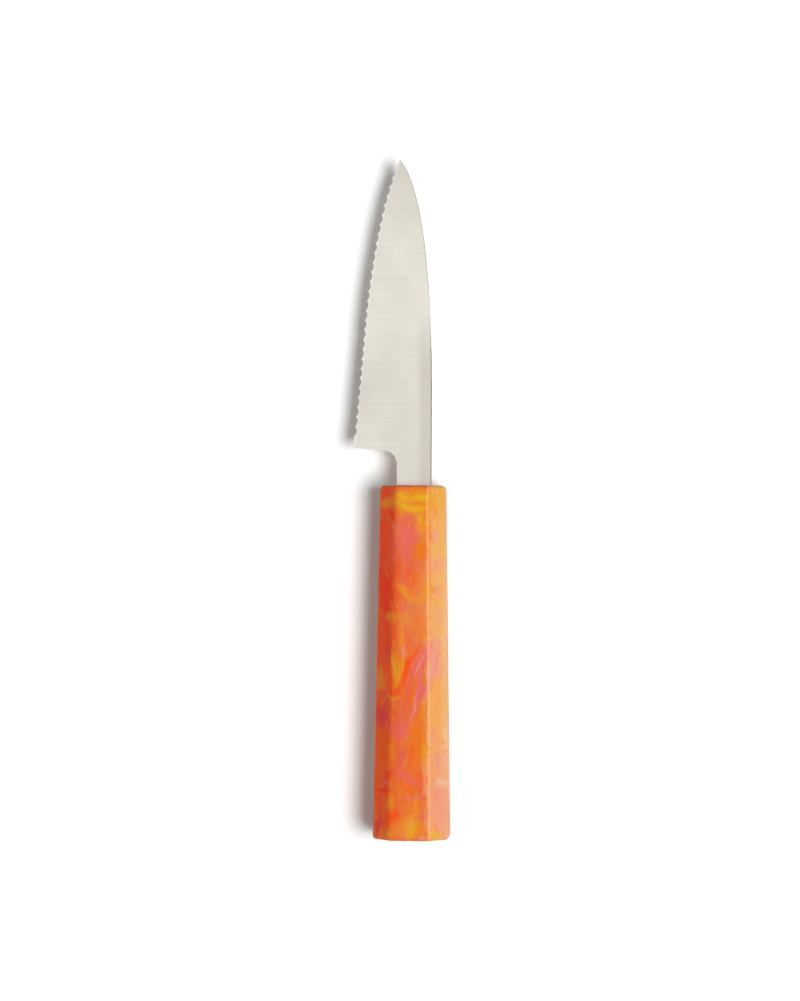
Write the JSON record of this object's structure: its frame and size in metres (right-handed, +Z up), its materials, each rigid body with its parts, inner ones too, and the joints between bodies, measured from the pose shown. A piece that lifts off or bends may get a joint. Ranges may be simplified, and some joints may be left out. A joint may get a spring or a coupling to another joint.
{
  "type": "serrated petty knife",
  "caption": "Serrated petty knife: thin pointed steel blade with a scalloped edge, its hidden tang glued into a tapered octagonal handle of marbled plastic, for slicing fruit and bread.",
  "frame": {"origin": "middle of the handle's lower side flat, which the knife lies on", "axes": "+Y from the handle to the blade's tip, +X to the spine, +Z up, away from the surface that the knife lies on"},
  "size_m": [0.0336, 0.2305, 0.0214],
  "materials": {
    "blade": "satin ground, with fine lines across the blade",
    "handle": "satin, marbled orange, red, pink and yellow through its depth",
    "tang_adhesive": "cured, slightly glossy"
  },
  "bodies": {
    "root": {"blade": "blade", "handle": "handle", "tang_adhesive": "tang_adhesive"}
  },
  "joints": []
}
